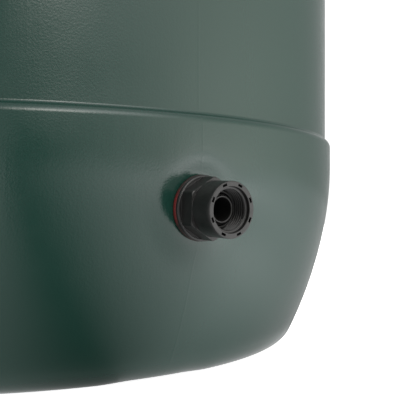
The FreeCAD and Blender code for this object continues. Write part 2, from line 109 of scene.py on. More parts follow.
# --- outlines ------------------------------------------------------------------------------------
class Outline:
    """Straight runs and tangent arcs in the r-z half-plane, sampled into points as they are walked.

    Material lies on the left.  inset moves the line that far to its left.
    """

    def __init__(self, r, z, heading, inset=0.0, arc_step=6.0, run_step=0.02):
        self.heading = heading
        self.inset = inset
        self.arc_step = arc_step
        self.run_step = run_step
        self.r = r - inset * math.sin(math.radians(heading))
        self.z = z + inset * math.cos(math.radians(heading))
        self.points = [(self.r, self.z)]

    def line_to(self, r, z):
        length = math.hypot(r - self.r, z - self.z)
        count = max(1, math.ceil(length / self.run_step))
        for k in range(1, count + 1):
            share = k / count
            self.points.append((self.r + (r - self.r) * share, self.z + (z - self.z) * share))
        self.r, self.z = r, z

    def ahead(self, length):
        slope = math.radians(self.heading)
        self.line_to(self.r + length * math.cos(slope), self.z + length * math.sin(slope))

    def ahead_to_r(self, r):
        self.ahead((r - self.r) / math.cos(math.radians(self.heading)))

    def ahead_to_z(self, z):
        self.ahead((z - self.z) / math.sin(math.radians(self.heading)))

    def arc(self, radius, turn, finest=None):
        side = 1.0 if turn > 0 else -1.0
        real_radius = radius - side * self.inset
        step = finest or self.arc_step
        count = max(2, math.ceil(abs(turn) / step))
        r0, z0 = self.r, self.z
        before = math.radians(self.heading)
        for k in range(1, count + 1):
            after = math.radians(self.heading + turn * k / count)
            self.r = r0 + side * real_radius * (math.sin(after) - math.sin(before))
            self.z = z0 - side * real_radius * (math.cos(after) - math.cos(before))
            self.points.append((self.r, self.z))
        self.heading += turn

    def offset_bend(self, first_radius, second_radius, turn, offset):
        lost = (first_radius + second_radius) * (1 - math.cos(math.radians(turn)))
        straight = (offset - lost) / abs(math.sin(math.radians(turn)))
        self.arc(first_radius, turn)
        self.ahead(straight)
        self.arc(second_radius, -turn)


def barrel_outline(inset):
    """The barrel's skin from the middle of its underside up to the edge of its mouth."""
    join = math.radians(BOWL_JOIN_DEG)
    upper_centre_r = BAND_R - BOWL_UPPER_ARC
    lower_centre_r = upper_centre_r - (BOWL_LOWER_ARC - BOWL_UPPER_ARC) * math.cos(join)
    lower_centre_z = BOWL_TOP_Z + (BOWL_LOWER_ARC - BOWL_UPPER_ARC) * math.sin(join)
    foot_slope = math.asin((lower_centre_z - FOOT_FILLET) / (BOWL_LOWER_ARC - FOOT_FILLET))
    foot_end_r = lower_centre_r + (BOWL_LOWER_ARC - FOOT_FILLET) * math.cos(foot_slope)
    recess_arc = RECESS_Z / 2 / (1 - math.cos(math.radians(RECESS_TURN)))

    skin = Outline(0.0, RECESS_Z, 0, inset)
    skin.ahead_to_r(RECESS_R)
    skin.arc(recess_arc, -RECESS_TURN)
    skin.arc(recess_arc, RECESS_TURN)
    skin.ahead_to_r(foot_end_r)
    skin.arc(FOOT_FILLET, 90 - math.degrees(foot_slope), 3.0)
    skin.arc(BOWL_LOWER_ARC, math.degrees(foot_slope) - BOWL_JOIN_DEG, 0.75)
    skin.arc(BOWL_UPPER_ARC, BOWL_JOIN_DEG, 0.75)
    skin.ahead_to_z(STEP_START_Z)
    skin.offset_bend(STEP_CONVEX, STEP_CONCAVE, STEP_TURN, STEP_IN)
    step_height = skin.z - STEP_START_Z
    skin.ahead_to_z(TOP_BAND_Z - step_height)
    skin.offset_bend(STEP_CONCAVE, STEP_CONVEX, -STEP_TURN, STEP_IN)
    skin.ahead_to_z(SHOULDER_Z)
    skin.offset_bend(SHOULDER_CONVEX, SHOULDER_CONCAVE, SHOULDER_TURN, BAND_R - NECK_R)
    bead_r = BEAD_ARC - inset
    bead_z = RIM_Z - BEAD_ARC
    meet = math.acos((NECK_R - inset - BEAD_CENTRE_R) / bead_r)
    skin.ahead_to_z(bead_z - bead_r * math.sin(meet))
    skin.heading = 90 - math.degrees(meet)
    skin.arc(BEAD_ARC, 90 + math.degrees(meet))
    skin.ahead_to_r(MOUTH_R)
    return skin.points


# --- mesh helpers --------------------------------------------------------------------------------
def new_object(name, vertices, faces, sharp_deg=35.0):
    mesh = bpy.data.meshes.new(name)
    mesh.from_pydata([tuple(v) for v in vertices], [], [tuple(f) for f in faces])
    mesh.validate()
    obj = bpy.data.objects.new(name, mesh)
    bpy.context.scene.collection.objects.link(obj)
    shade(obj, sharp_deg)
    return obj


def shade(obj, sharp_deg):
    mesh = obj.data
    mesh.shade_smooth()
    mesh.set_sharp_from_angle(angle=math.radians(sharp_deg))


def grid_faces(rows, columns, offset=0, flip=False, close_rows=False):
    """Quads of a grid whose columns go round and meet; rows run along the outline."""
    faces = []
    last = rows if close_rows else rows - 1
    for i in range(last):
        below = offset + i * columns
        above = offset + ((i + 1) % rows) * columns
        for j in range(columns):
            k = (j + 1) % columns
            quad = (below + j, below + k, above + k, above + j)
            faces.append(quad[::-1] if flip else quad)
    return faces


def fan(columns, ring_start, centre, flip=False):
    faces = []
    for j in range(columns):
        k = (j + 1) % columns
        tri = (centre, ring_start + k, ring_start + j)
        faces.append(tri[::-1] if flip else tri)
    return faces


def place(obj, matrix):
    obj.data.transform(matrix)
    return obj


def turned_solid(name, profile, turns, sharp_deg=35.0):
    """Solid of revolution about Z from (r, z) points that run upwards, closed by a flat end at each end."""
    angles = np.linspace(0, 2 * math.pi, turns, endpoint=False)
    vertices = [(r * math.cos(a), r * math.sin(a), z) for r, z in profile for a in angles]
    faces = grid_faces(len(profile), turns)
    faces.append(tuple(range(turns - 1, -1, -1)))
    top = (len(profile) - 1) * turns
    faces.append(tuple(range(top, top + turns)))
    return new_object(name, vertices, faces, sharp_deg)


def absorb(obj, other, sharp_deg=40.0):
    """Moves another object's mesh into this one."""
    mesh = bmesh.new()
    mesh.from_mesh(obj.data)
    mesh.from_mesh(other.data)
    mesh.to_mesh(obj.data)
    mesh.free()
    bpy.data.objects.remove(other)
    shade(obj, sharp_deg)


def fitting_matrix(seat, outward):
    turn = Vector((0, 0, 1)).rotation_difference(outward)
    return Matrix.Translation(seat) @ turn.to_matrix().to_4x4()


def smooth_step(low, high, value):
    t = np.clip((value - low) / (high - low), 0.0, 1.0)
    return t * t * (3 - 2 * t)


# --- the barrel's shell --------------------------------------------------------------------------
FOOT_R = 0.262              # the foot and its rounding lie within this radius
RIDGE_HALF = 0.0006         # parting line: half width and height
RIDGE_TALL = 0.00005
WAVE_DEEP = 0.00022         # how far the blown wall wanders inwards
PINCH_HALF = 0.045          # half width of the lift where the mould pinched the parison off
PINCH_LIFT = 0.0009
WELD_HALF = 0.0015          # weld left across the underside by the pinch-off
WELD_TALL = 0.0016
# seat, how far it leans forward, radius of its flat, and the width over which the wall runs back to its
# own shape
WALL_SEATS = (
    (OUTLET_SEAT, OUTLET_DROOP, 0.0206, 0.018),
    (OVERFLOW_SEAT, 0.0, 0.0262, 0.012),
)


def azimuths():
    """Columns round the barrel: close together at the two parting lines, even elsewhere."""
    near = [0.0, 0.05, 0.10, 0.15, 0.25, 0.4, 0.7]
    near += [1.0 + 0.45 * k for k in range(25)]
    quarter = near + list(np.linspace(near[-1] + 0.6, 90.0, 76))
    turns = []
    for middle in (-90.0, 90.0):
        for side in (-1, 1):
            turns += [middle + side * q for q in quarter]
    turns = sorted(set(round(t % 360.0, 6) for t in turns))
    return np.radians(np.array(turns))


def build_shell():
    columns = azimuths()
    count = len(columns)
    outer = np.array(barrel_outline(0.0))
    inner = np.array(barrel_outline(WALL_T))

    def skin(points, outside):
        """Grid of points on one face of the wall, with everything that bends it from a pure turning."""
        r = points[1:, 0][:, None] * np.ones(count)
        z = points[1:, 1][:, None] * np.ones(count)
        a = columns[None, :] * np.ones(r.shape)
        side = np.where(np.sin(a) < 0, -1.0, 1.0)
        across = np.abs(r * np.cos(a))              # distance from the parting plane
        x = r * np.cos(a)
        y = r * np.sin(a)
        # outward direction of the outline at each row
        run = np.gradient(points, axis=0)[1:]
        length = np.hypot(run[:, 0], run[:, 1])
        out_r = (run[:, 1] / length)[:, None]
        out_z = (-run[:, 0] / length)[:, None]
        lift = np.zeros(r.shape)
        # gentle unevenness of a blown wall
        wave = np.sin(5 * a + 31 * z)
        wave += 0.8 * np.sin(9 * a - 22 * z + 1.3)
        wave += 0.6 * np.sin(3 * a + 57 * z + 0.4)
        on_wall = smooth_step(0.03, 0.08, z) * (1 - smooth_step(0.86, 0.88, z))
        lift -= WAVE_DEEP * (0.5 + 0.2 * wave) * on_wall
        if outside:
            ridge = np.exp(-((across / RIDGE_HALF) ** 2) * 1.2)
            lift += RIDGE_TALL * ridge * (z > 0.001) * (r > RECESS_R)
            weld = np.sqrt(np.clip(1 - (across / WELD_HALF) ** 2, 0, 1))
            lift += WELD_TALL * weld * (1 - smooth_step(0.197, RECESS_R, r))
        x = x + lift * out_r * np.cos(a)
        y = y + lift * out_r * np.sin(a)
        z = z + lift * out_z

        # flat seats for the two wall fittings
        thick = 0.0 if outside else WALL_T
        for seat, droop, flat_r, swell in WALL_SEATS:
            facing = side * seat.y > 0
            drop = z - seat.z
            distance = np.hypot(x, drop)
            beyond = np.clip((distance - flat_r) / swell, 0.0, 1.0)
            weight = (1 - beyond) ** 2 * facing
            plane = abs(seat.y) - thick + drop * math.tan(droop)
            y_out = np.abs(y)
            y_new = y_out + (plane - y_out) * weight
            y = np.where(facing, side * y_new, y)

        # the pinch-off lift across the foot
        foot = 1 - smooth_step(0.004, 0.030, z)
        pinch = (1 - smooth_step(0.4 * PINCH_HALF, PINCH_HALF, across)) * foot * (r > 0.19) * (r < FOOT_R)
        z = z + PINCH_LIFT * pinch
        return np.stack([x, y, z], -1).reshape(-1, 3)

    outer_v = skin(outer, True)
    inner_v = skin(inner, False)
    rows_out = len(outer) - 1
    rows_in = len(inner) - 1
    start_in = len(outer_v)
    centre_out = start_in + len(inner_v)
    centre_in = centre_out + 1
    vertices = np.vstack([outer_v, inner_v, [[0, 0, outer[0, 1]], [0, 0, inner[0, 1]]]])
    faces = grid_faces(rows_out, count)
    faces += grid_faces(rows_in, count, start_in, flip=True)
    faces += fan(count, 0, centre_out, flip=False)
    faces += fan(count, start_in, centre_in, flip=True)
    top_out = (rows_out - 1) * count
    top_in = start_in + (rows_in - 1) * count
    for j in range(count):
        k = (j + 1) % count
        faces.append((top_out + j, top_out + k, top_in + k, top_in + j))
    return new_object("barrel_shell", vertices, faces, 40.0)


# --- lid ------------------------------------------------------------------------------------------
FOOT_ROUND = 0.0008         # rounding of the skirt's lower edge and of the inlet's edge
LUG_FILLET = 0.0018         # edge of a latch lug's flat top
LUG_FLAT_DEG = 1.75         # a lug keeps its full reach this far each side of its middle
LUG_END_DEG = 2.55


def lid_profile(skirt_r, fillet, inset):
    """Points of the lid's skin from the skirt's lower edge over to the inlet, at the given inset."""
    skin = Outline(skirt_r, SKIRT_Z, 90, inset)
    if not inset:
        skin = Outline(skirt_r - FOOT_ROUND, SKIRT_Z, 0)
        skin.arc(FOOT_ROUND, 90, 30.0)
    skin.ahead_to_z(RING_Z - fillet)
    skin.arc(fillet, 90)
    if inset:
        skin.ahead_to_r(LOCATOR_OUT_R)
        ring_z = skin.z
        skin.line_to(LOCATOR_OUT_R, RIM_Z - LOCATOR_DEEP)
        skin.line_to(LOCATOR_OUT_R - LOCATOR_T, RIM_Z - LOCATOR_DEEP)
        skin.line_to(LOCATOR_OUT_R - LOCATOR_T, ring_z)
    skin.ahead_to_r(PLATEAU_START_R)
    skin.offset_bend(PLATEAU_ARC, PLATEAU_ARC, -PLATEAU_TURN, PLATEAU_Z - RING_Z)
    skin.arc(PLATEAU_ARC, PLATEAU_FALL)
    skin.ahead_to_r(SEAT_STEP_R)
    tilt = math.cos(math.radians(PLATEAU_FALL))
    steep = math.cos(math.radians(SEAT_TURN))
    fall = skin.z + inset * tilt - SEAT_Z
    lost = SEAT_CONVEX * (tilt - steep) + SEAT_CONCAVE * (1 - steep)
    skin.arc(SEAT_CONVEX, SEAT_TURN - PLATEAU_FALL, 10.0)
    skin.ahead((fall - lost) / math.sin(math.radians(SEAT_TURN)))
    skin.arc(SEAT_CONCAVE, -SEAT_TURN, 15.0)
    if inset:
        skin.line_to(INLET_R, skin.z)
    else:
        skin.line_to(INLET_R + FOOT_ROUND, skin.z)
        skin.heading = 180
        skin.arc(FOOT_ROUND, 90, 30.0)
    return skin.points


def build_lid():
    """Moulded lid whose skirt swells out into four latch lugs."""
    half_quarter = list(np.arange(0.0, 3.4, 0.15)) + list(np.linspace(3.5, 45.0, 26))
    turns = set()
    for lug in range(45, 360, 90):
        for off in half_quarter:
            turns.add(round((lug + off) % 360, 5))
            turns.add(round((lug - off) % 360, 5))
    turns = sorted(turns)
    under = lid_profile(SKIRT_R, SKIRT_FILLET, LID_T)[::-1]
    columns = []
    for turn in turns:
        off = math.radians(abs((turn % 90) - 45))
        lug = 1 - float(smooth_step(LUG_FLAT_DEG, LUG_END_DEG, math.degrees(off)))
        side = min(LATCH_PIVOT_R * math.sin(off), 0.98 * LATCH_BOSS_R)
        reach = LATCH_PIVOT_R * math.cos(off) + math.sqrt(LATCH_BOSS_R**2 - side**2)
        edge = SKIRT_R + (reach - SKIRT_R) * lug
        fillet = SKIRT_FILLET + (LUG_FILLET - SKIRT_FILLET) * lug
        section = lid_profile(edge, fillet, 0.0) + under
        a = math.radians(turn)
        columns.append([(r * math.cos(a), r * math.sin(a), z) for r, z in section])
    rows = len(columns[0])
    vertices = [columns[j][i] for i in range(rows) for j in range(len(turns))]
    return new_object("lid_shell", vertices, grid_faces(rows, len(turns), close_rows=True), 35.0)


# --- latches --------------------------------------------------------------------------------------
HANDLE_HALF_LONG = 0.022
HANDLE_HALF_WIDE = 0.0065
HANDLE_TALL = 0.009
HANDLE_Z = 0.9434
SHAFT_R = 0.005
SHAFT_LOW_Z = 0.9237


def handle_section(y):
    """Half width and height of the handle's bar at a distance along it."""
    to_end = HANDLE_HALF_LONG - abs(y)
    rounding = math.sqrt(max(0.0, 1 - max(0.0, 1 - to_end / HANDLE_HALF_WIDE) ** 2))
    waist = 1 - 0.20 * math.exp(-((y / 0.0085) ** 2))
    ridge = 0.0003 * math.sin((abs(y) - 0.009) * math.pi / 0.0011) if 0.009 < abs(y) < 0.0167 else 0.0
    half = HANDLE_HALF_WIDE * rounding * waist - abs(ridge)
    return max(half, 0.0002), HANDLE_TALL * (0.72 + 0.28 * rounding ** 0.7)


def build_latch_handle(name, turn):
    """Turn handle: a waisted bar with rounded ends and gripping ridges, on its shaft, at one latch."""
    around = 36
    stations = [HANDLE_HALF_LONG * math.sin(math.radians(a)) for a in np.linspace(-90, 90, 121)]
    vertices = []
    for y in stations:
        half, tall = handle_section(y)
        for k in range(around):
            a = 2 * math.pi * k / around
            c, s_ = math.cos(a), math.sin(a)
            x = half * math.copysign(abs(c) ** 0.45, c)
            z = tall * (0.5 + 0.5 * math.copysign(abs(s_) ** (0.55 if s_ > 0 else 0.2), s_))
            vertices.append((x, y, z))
    faces = []
    for i in range(len(stations) - 1):
        for k in range(around):
            n = (k + 1) % around
            faces.append((i * around + k, (i + 1) * around + k, (i + 1) * around + n, i * around + n))
    faces.append(tuple(range(around)))
    last = (len(stations) - 1) * around
    faces.append(tuple(range(last + around - 1, last - 1, -1)))
    bar = new_object(name, vertices, faces, 50.0)
    place(bar, Matrix.Translation((0, 0, HANDLE_Z)))
    shaft = turned_solid(name + "_shaft", [(SHAFT_R - 0.0004, SHAFT_LOW_Z), (SHAFT_R, SHAFT_LOW_Z + 0.0004),
                                           (SHAFT_R, HANDLE_Z + 0.001)], 40)
    absorb(bar, shaft)
    place(bar, Matrix.Translation((LATCH_PIVOT_R, 0, 0)))
    return place(bar, Matrix.Rotation(math.radians(turn), 4, "Z"))


# --- strainer screen ------------------------------------------------------------------------------
SCREEN_R = 0.066
SCREEN_Z = 0.8897
WIRE_PITCH = 0.0022
WIRE_R = 0.00016
WEAVE = 0.00013


def build_screen():
    """Plain-woven wire disc."""
    vertices, faces = [], []
    sides = 5
    lines = int(SCREEN_R / WIRE_PITCH)
    for way in (0, 1):
        for line in range(-lines, lines + 1):
            across = line * WIRE_PITCH
            half = math.sqrt(max(SCREEN_R**2 - across**2, 0)) - WIRE_R
            steps = max(2, int(2 * half / WIRE_PITCH * 2))
            start = len(vertices)
            for i in range(steps + 1):
                along = -half + 2 * half * i / steps
                flip = 1 if (line + way) % 2 else -1
                z = SCREEN_Z + flip * WEAVE * math.cos(math.pi * along / WIRE_PITCH) * (1 if way else -1)
                for k in range(sides):
                    a = 2 * math.pi * k / sides
                    side, up = WIRE_R * math.cos(a), WIRE_R * math.sin(a)
                    point = (along, across + side, z + up) if way else (across + side, along, z + up)
                    vertices.append(point)
            for i in range(steps):
                for k in range(sides):
                    n = (k + 1) % sides
                    quad = (start + i * sides + k, start + i * sides + n,
                            start + (i + 1) * sides + n, start + (i + 1) * sides + k)
                    faces.append(quad if way == 0 else quad[::-1])
            faces.append(tuple(start + k for k in range(sides))[:: 1 if way else -1])
            end = start + steps * sides
            faces.append(tuple(end + k for k in range(sides))[:: -1 if way else 1])
    return new_object("strainer_screen_mesh", vertices, faces, 60.0)


# --- wall fittings, in millimetres along and across each one's own axis, 0 at its seat -------------
GASKET_T = 2.5
SPIGOT_END = -17.7
THREAD_END = -3.4           # a spigot's thread stops here, just behind the wall
WASHER_OUT_R = 20.2
WASHER_IN_R = 13.6
SLOT_IN_R = 14.4            # slots in the outlet's front face
SLOT_MID_R = 15.1
SLOT_OUT_R = 15.8
SLOT_HALF_WIDE = 1.55
SLOT_DEEP = 7.0
SLOT_SPACING = math.radians(45)


def turned_grid(name, profile, turns, radius_at=None, sharp_deg=30.0, closed=True):
    """Surface of revolution about Z whose radius may change with the angle, row by row.

    profile: (r, z) points going once round the section.  radius_at(row, r, z, angle) may change r.
    """
    angles = np.linspace(0, 2 * math.pi, turns, endpoint=False)
    rows = []
    for row, (r, z) in enumerate(profile):
        radii = np.full(turns, r)
        if radius_at is not None:
            radii = radius_at(row, radii, z, angles)
        rows.append(np.stack([radii * np.cos(angles), radii * np.sin(angles), np.full(turns, z)], -1))
    vertices = np.concatenate(rows)
    faces = grid_faces(len(profile), turns, close_rows=closed)
    return new_object(name, vertices, faces, sharp_deg)


def build_outlet():
    """Outlet: a male-threaded spigot, a flange, a hexagon and a sleeve round a female thread and its lip."""
    turns = 480
    gasket, flange_t, hex_end, face = GASKET_T, 2.4, 14.2, 30.09
    flange_r, sleeve_r, spigot_r, bore_r = 20.0, 16.75, 13.1, 7.0
    flat_half, corner, crest, root, relief = 16.85, 19.1, 12.06, 13.15, 13.2
    pitch = 1.814
    spigot_end = SPIGOT_END
    flange_top = gasket + flange_t
    floor = face - 15.0
    lip_top = face - 8.8
    lip_r = 9.0
    ring_top = face - 10.5
    hex_low = flange_top + 0.25

    profile = []

    def add(r, z, kind="plain"):
        profile.append((r, z, kind))

    # spigot behind the flange, with a male thread where the back nut runs
    add(bore_r, spigot_end)
    add(spigot_r - 1.2, spigot_end)
    for k in range(61):
        z = spigot_end + 0.2 + (THREAD_END - spigot_end) * k / 60
        add(spigot_r, z, "male")
    add(spigot_r, gasket)
    # flange
    add(flange_r - 0.5, gasket)
    add(flange_r, gasket + 0.5)
    add(flange_r, flange_top - 1.1)
    for k in range(1, 7):
        a = math.radians(15 * k)
        add(flange_r - 1.1 + 1.1 * math.cos(a), flange_top - 1.1 + 1.1 * math.sin(a))
    # a shallow groove inside the rim of the flange
    add(19.0 - 0.35, flange_top)
    add(18.55, flange_top - 0.35)
    add(corner - 0.9, flange_top - 0.35, "hexfoot")
    for k in range(31):
        z = hex_low + (hex_end - hex_low) * k / 30
        add(sleeve_r, z, "hex")
    add(sleeve_r, hex_end + 0.05)
    add(sleeve_r, face - 3.0)
    add(sleeve_r, face - 0.45)
    add(sleeve_r - 0.13, face - 0.13)
    add(sleeve_r - 0.45, face)
    for r in (SLOT_OUT_R, SLOT_MID_R, SLOT_IN_R):
        add(r, face)
    add(13.75, face)
    add(13.55, face - 0.2)
    add(13.35, face - 2.2)
    add(13.15, face - 2.4)
    add(crest + 0.25, face - 2.6)
    thread_high = face - 2.9
    for k in range(131):
        z = thread_high - (thread_high - (face - 13.0)) * k / 130
        add(crest, z, "female")
    add(relief, face - 13.3)
    add(relief, floor + 0.4)
    add(relief - 0.4, floor)
    add(11.2, floor)
    add(11.0, ring_top - 0.3)
    add(10.8, ring_top)
    add(10.1, ring_top)
    add(9.9, ring_top - 0.3)
    add(9.8, floor)
    add(lip_r, floor + 0.2)
    add(lip_r, lip_top - 1.6)
    add(8.2, lip_top - 1.2)
    add(8.1, lip_top - 0.3)
    add(7.8, lip_top)
    add(bore_r + 0.25, lip_top)
    add(bore_r, lip_top - 0.3)
    add(bore_r, 0.0)

    kinds = [p[2] for p in profile]

    def radius_at(row, radii, z, angles):
        kind = kinds[row]
        if kind == "hex" or kind == "hexfoot":
            folded = np.mod(angles - math.radians(90), math.radians(60)) - math.radians(30)
            flats = flat_half / np.cos(folded)
            rounding = min(corner, corner - 0.8 + (hex_end - z) * 1.6)
            low = np.maximum(np.minimum(flats, rounding), sleeve_r)
            if kind == "hexfoot":
                low = np.minimum(flats + 0.25, corner - 0.2)
            return low
        if kind == "female":
            wave = thread_wave(z, angles, pitch)
            fade = np.clip(min(thread_high - z, 0.5) / 0.5, 0, 1)
            return crest + (root - crest) * wave * fade
        if kind == "male":
            return spigot_r - 1.05 * thread_wave(z, angles, pitch)
        return radii

    body = turned_grid("outlet_fitting_body", [(r, z) for r, z, _ in profile], turns, radius_at, 28.0)
    cut_slots(body, face, turns)
    place(body, Matrix.Scale(MM, 4))
    return place(body, fitting_matrix(OUTLET_SEAT, OUTLET_OUT))


def build_overflow():
    """Hose spigot: a threaded tube through the wall with a flange, then a plain tail for the hose."""
    gasket, flange_t, face = GASKET_T, 4.0, 42.0
    flange_r, tail_r, spigot_r, bore_r = 24.0, 16.0, 16.5, 13.0
    spigot_end = SPIGOT_END
    pitch = 2.309
    flange_top = gasket + flange_t
    profile = [(bore_r + 0.5, spigot_end, "plain"), (spigot_r - 1.3, spigot_end, "plain")]
    for k in range(61):
        profile.append((spigot_r, spigot_end + 0.2 + (THREAD_END - spigot_end) * k / 60, "male"))
    profile += [(spigot_r, gasket, "plain"), (flange_r - 0.4, gasket, "plain")]
    profile += [(flange_r, gasket + 0.4, "plain")]
    for k in range(7):
        a = math.radians(15 * k)
        profile.append((flange_r - 1.2 + 1.2 * math.cos(a), flange_top - 1.2 + 1.2 * math.sin(a), "plain"))
    for k in range(7):
        a = math.radians(15 * k)
        profile.append((tail_r + 1.5 - 1.5 * math.sin(a), flange_top + 1.5 - 1.5 * math.cos(a), "plain"))
    profile += [(tail_r, face - 1.9, "plain"), (tail_r - 0.15, face - 1.4, "plain")]
    profile += [(tail_r - 1.3, face - 0.15, "plain"), (tail_r - 1.6, face, "plain")]
    profile += [(bore_r + 0.5, face, "plain"), (bore_r, face - 0.5, "plain")]
    profile.append((bore_r, spigot_end + 0.5, "plain"))
    kinds = [p[2] for p in profile]

    def radius_at(row, radii, z, angles):
        if kinds[row] == "male":
            return spigot_r - 1.3 * thread_wave(z, angles, pitch)
        return radii

    body = turned_grid("overflow_fitting_body", [(r, z) for r, z, _ in profile], 240, radius_at, 30.0)
    place(body, Matrix.Scale(MM, 4))
    return place(body, fitting_matrix(OVERFLOW_SEAT, OVERFLOW_OUT))


def thread_wave(z, angles, pitch):
    """0 on a thread's crest and 1 at its root, for a height and the angles round it."""
    phase = np.mod(z / pitch - angles / (2 * math.pi), 1.0)
    return np.clip(1.9 * np.abs(2 * phase - 1) - 0.45, 0, 1)


def cut_slots(body, face, turns):
    """Eight small moulded pockets in the front face, pushed down out of the face's own quads."""
    mesh = bmesh.new()
    mesh.from_mesh(body.data)
    half_turn = math.atan2(SLOT_HALF_WIDE, SLOT_MID_R)
    picked = []
    for f in mesh.faces:
        centre = f.calc_center_median()
        if abs(centre.z - face) > 1e-4:
            continue
        r = math.hypot(centre.x, centre.y)
        if not SLOT_IN_R < r < SLOT_OUT_R:
            continue
        around = math.atan2(centre.y, centre.x) - math.radians(90)
        off = (around + SLOT_SPACING / 2) % SLOT_SPACING - SLOT_SPACING / 2
        off = abs(off) - SLOT_SPACING / 2
        if abs(off) < half_turn:
            picked.append(f)
    result = bmesh.ops.extrude_face_region(mesh, geom=picked)
    moved = [g for g in result["geom"] if isinstance(g, bmesh.types.BMVert)]
    bmesh.ops.translate(mesh, verts=moved, vec=(0, 0, -SLOT_DEEP))
    bmesh.ops.delete(mesh, geom=picked, context="FACES_ONLY")
    bmesh.ops.recalc_face_normals(mesh, faces=mesh.faces)
    mesh.to_mesh(body.data)
    mesh.free()
    shade(body, 28.0)


def build_washer(name, outer_r, inner_r, thickness, seat, outward):
    """Rubber washer on its seat, with a rounded outer edge.  Radii and thickness are in millimetres."""
    half = thickness / 2
    edge = 0.5
    profile = [(inner_r, 0.0), (inner_r, thickness)]
    for k in range(13):
        a = math.radians(90 - 15 * k)
        profile.append((outer_r - edge + edge * math.cos(a), half + half * math.sin(a)))
    ring = turned_grid(name, profile, 160, None, 30.0)
    place(ring, Matrix.Scale(MM, 4))
    return place(ring, fitting_matrix(seat, outward))


# --- materials -----------------------------------------------------------------------------------
class Nodes:
    """Small builder for a node material."""

    def __init__(self, name):
        self.material = bpy.data.materials.new(name)
        self.material.use_nodes = True
        self.tree = self.material.node_tree
        self.tree.nodes.clear()
        self.out = self.add("ShaderNodeOutputMaterial")
        self.surface = self.add("ShaderNodeBsdfPrincipled")
        self.link(self.surface.outputs[0], self.out.inputs["Surface"])
        self.place = self.add("ShaderNodeTexCoord").outputs["Object"]

    def add(self, kind, **settings):
        node = self.tree.nodes.new(kind)
        for key, value in settings.items():
            setattr(node, key, value)
        return node

    def link(self, a, b):
        self.tree.links.new(a, b)

    def stretch(self, scale):
        node = self.add("ShaderNodeMapping")
        node.inputs["Scale"].default_value = scale
        self.link(self.place, node.inputs["Vector"])
        return node.outputs[0]

    def noise(self, scale, detail=3.0, rough=0.5, where=None):
        node = self.add("ShaderNodeTexNoise")
        node.inputs["Scale"].default_value = scale
        node.inputs["Detail"].default_value = detail
        node.inputs["Roughness"].default_value = rough
        self.link(where or self.place, node.inputs["Vector"])
        return node.outputs["Fac"]

    def ramp(self, value, low, high, out_low, out_high):
        node = self.add("ShaderNodeMapRange")
        node.inputs["From Min"].default_value = low
        node.inputs["From Max"].default_value = high
        node.inputs["To Min"].default_value = out_low
        node.inputs["To Max"].default_value = out_high
        self.link(value, node.inputs["Value"])
        return node.outputs[0]

    def mix(self, value, first, second):
        node = self.add("ShaderNodeMix", data_type="RGBA")
        node.inputs["A"].default_value = (*first, 1.0)
        node.inputs["B"].default_value = (*second, 1.0)
        self.link(value, node.inputs["Factor"])
        return node.outputs["Result"]

    def rounded_edges(self, radius):
        """Shading normal that rounds the small sharp edges of the design's solids."""
        node = self.add("ShaderNodeBevel", samples=4)
        node.inputs["Radius"].default_value = radius
        return node.outputs[0]

    def bump(self, height, distance, strength=1.0, base=None):
        node = self.add("ShaderNodeBump")
        node.inputs["Distance"].default_value = distance
        node.inputs["Strength"].default_value = strength
        self.link(height, node.inputs["Height"])
        if base is not None:
            self.link(base, node.inputs["Normal"])
        return node.outputs[0]

    def set(self, name, value):
        socket = self.surface.inputs[name]
        if isinstance(value, bpy.types.NodeSocket):
            self.link(value, socket)
        elif isinstance(value, (int, float)):
            socket.default_value = value
        else:
            socket.default_value = (*value, 1.0)


class Sums:
    """Arithmetic on sockets of a node tree."""

    def __init__(self, tree):
        self.tree = tree

    def math(self, operation, a, b=0.0, clamp=False):
        node = self.tree.nodes.new("ShaderNodeMath")
        node.operation = operation
        node.use_clamp = clamp
        for socket, value in zip(node.inputs, (a, b)):
            if isinstance(value, bpy.types.NodeSocket):
                self.tree.links.new(value, socket)
            else:
                socket.default_value = value
        return node.outputs[0]

    def vector(self, operation, a, b):
        node = self.tree.nodes.new("ShaderNodeVectorMath")
        node.operation = operation
        self.tree.links.new(a, node.inputs[0])
        if isinstance(b, bpy.types.NodeSocket):
            self.tree.links.new(b, node.inputs[1])
        else:
            node.inputs[1].default_value = b
        return node.outputs["Value" if operation in ("DOT_PRODUCT", "LENGTH") else "Vector"]

    def falloff(self, distance, scale, power=1.0):
        """exp(-(distance / scale) ** power)"""
        ratio = self.math("DIVIDE", distance, scale)
        return self.math("EXPONENT", self.math("MULTIPLY", self.math("POWER", ratio, power), -1.0))


def blown_plastic(name, dark, light, roughness):
    """Blow-moulded polyethylene: orange-peel grain, faint upright streaks, slight cloudiness."""
    n = Nodes(name)
    cloud = n.noise(9.0, 3.0)
    n.set("Base Color", n.mix(n.ramp(cloud, 0.3, 0.7, 0.0, 1.0), dark, light))
    rough_noise = n.noise(60.0, 2.0)
    n.set("Roughness", n.ramp(rough_noise, 0.3, 0.7, roughness - 0.03, roughness + 0.04))
    streaks = n.noise(1.0, 3.0, 0.6, n.stretch((230.0, 230.0, 3.0)))
    peel = n.noise(800.0, 2.0, 0.55)
    first = n.bump(streaks, 0.00012, 0.35)
    n.set("Normal", n.bump(peel, 0.00012, 0.5, first))
    n.set("IOR", 1.51)
    return n.material


def moulded_plastic(name, colour, roughness, grain=900.0):
    n = Nodes(name)
    cloud = n.noise(120.0, 2.0)
    lighter = tuple(c * 1.35 + 0.002 for c in colour)
    n.set("Base Color", n.mix(n.ramp(cloud, 0.35, 0.65, 0.0, 1.0), colour, lighter))
    n.set("Roughness", n.ramp(n.noise(400.0, 2.0), 0.3, 0.7, roughness - 0.05, roughness + 0.06))
    n.set("Normal", n.bump(n.noise(grain, 2.0), 0.00005, 0.35, n.rounded_edges(0.0004)))
    return n.material


PAINTED_SHADE_START = 0.0065        # heights above or below the middle of the outer washer where its painted shade sets in
PAINTED_SHADE_FULL = 0.0105


